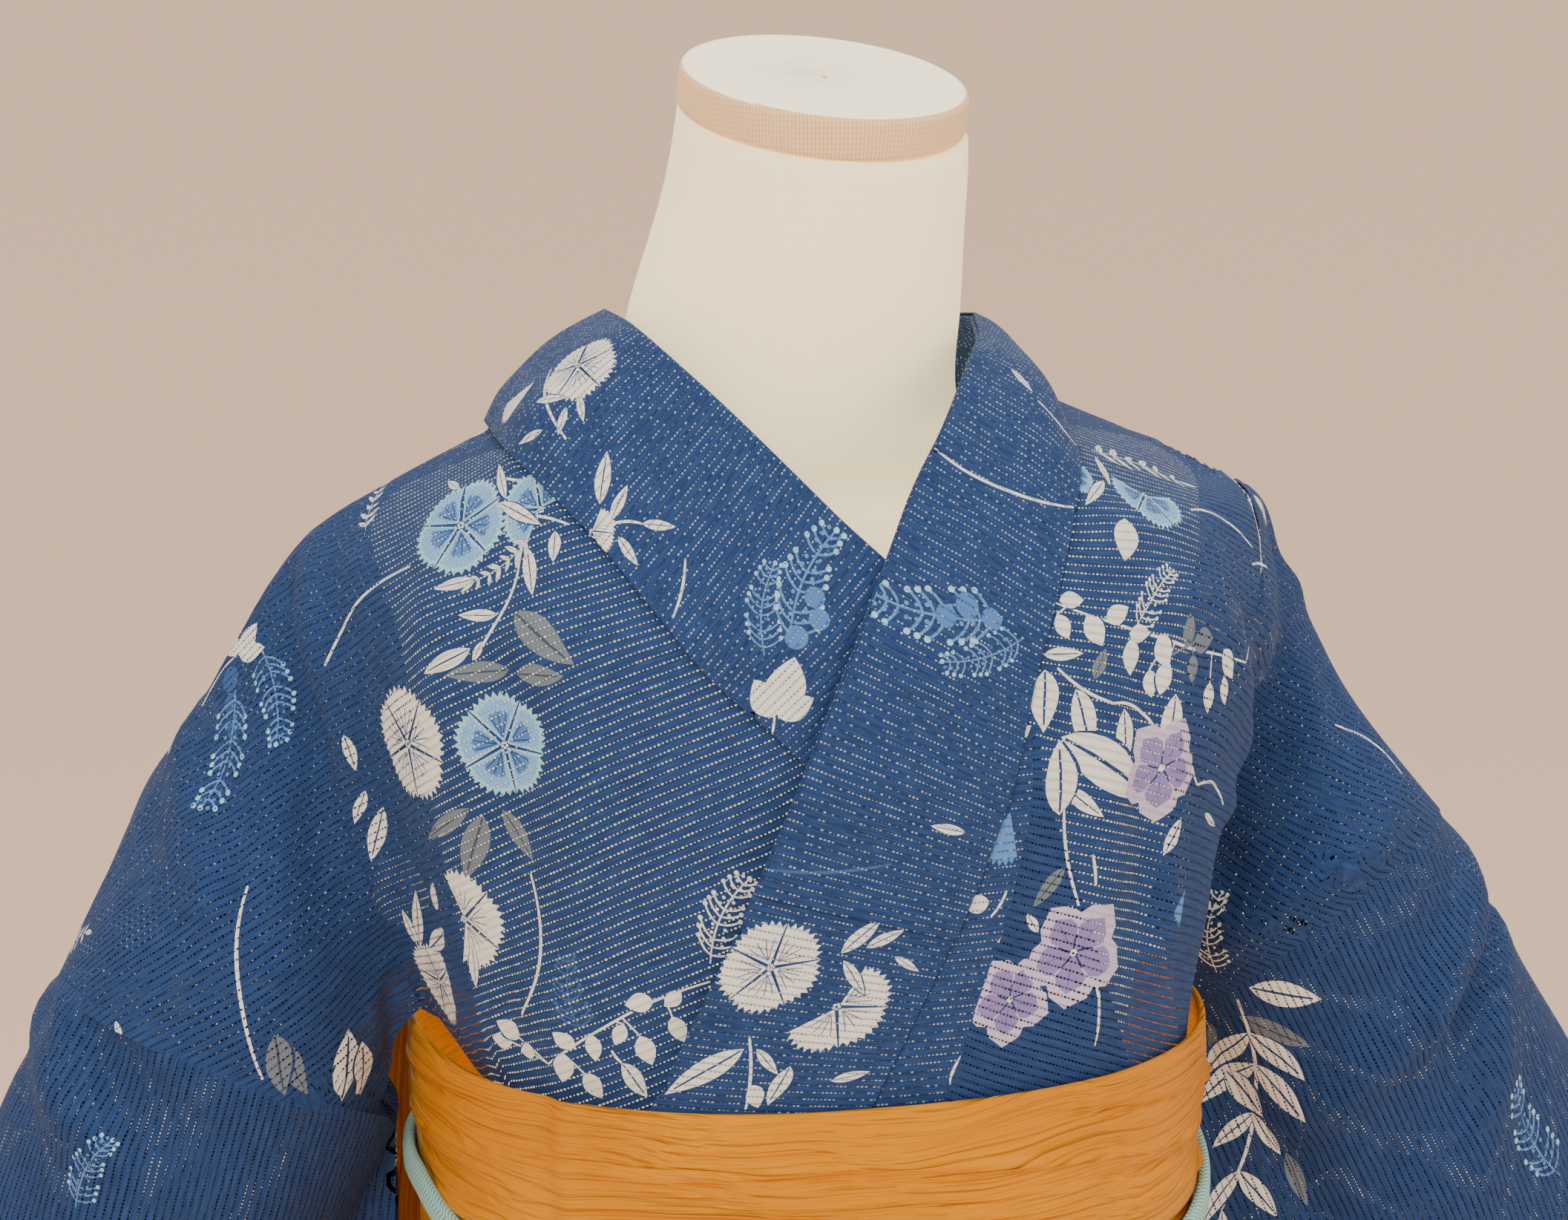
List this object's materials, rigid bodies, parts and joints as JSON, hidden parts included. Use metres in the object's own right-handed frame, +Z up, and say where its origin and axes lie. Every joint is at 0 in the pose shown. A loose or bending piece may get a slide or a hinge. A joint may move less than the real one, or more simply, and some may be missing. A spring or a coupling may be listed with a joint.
{
  "type": "cotton yukata robe with a soft obi, on a limbless dress form and stand",
  "caption": "Summer cotton yukata worn left over right on a limbless dress form, with hanging bag sleeves, a wide soft obi tied behind and a thin braided cord round it.",
  "frame": {"origin": "on the floor, at the middle of the underside of the stand's base", "axes": "+Z up along the pole, -Y out of the wearer's chest, +X towards the wearer's left"},
  "size_m": [0.8306, 0.3601, 1.3958],
  "materials": {
    "cotton": "navy openwork cotton with a white and blue flower print",
    "obi_cloth": "mustard crinkled soft obi cloth with a silky sheen",
    "cord": "pale mint braid",
    "jersey": "cream stretch cover",
    "cap": "matt cream neck cap",
    "stand": "satin pale grey paint"
  },
  "bodies": {
    "root": {"body_left_back": "cotton", "body_left_front": "cotton", "body_right_back": "cotton", "body_right_front": "cotton", "bow_end_left": "obi_cloth", "bow_end_right": "obi_cloth", "bow_knot": "obi_cloth", "bow_loop_left": "obi_cloth", "bow_loop_right": "obi_cloth", "collar": "cotton", "cord_band": "cord", "cord_knot": "cord", "form_body": "jersey", "form_cap": "cap", "obi_band": "obi_cloth", "okumi_left": "cotton", "okumi_right": "cotton", "over_collar": "cotton", "skirt_back_left": "cotton", "skirt_back_right": "cotton", "skirt_front_left_over": "cotton", "skirt_front_right_under": "cotton", "skirt_okumi_left_over": "cotton", "skirt_okumi_right_under": "cotton", "sleeve_left_back": "cotton", "sleeve_left_front": "cotton", "sleeve_right_back": "cotton", "sleeve_right_front": "cotton", "stand_base": "stand", "stand_pole": "stand", "waist_fold": "cotton"}
  },
  "joints": []
}
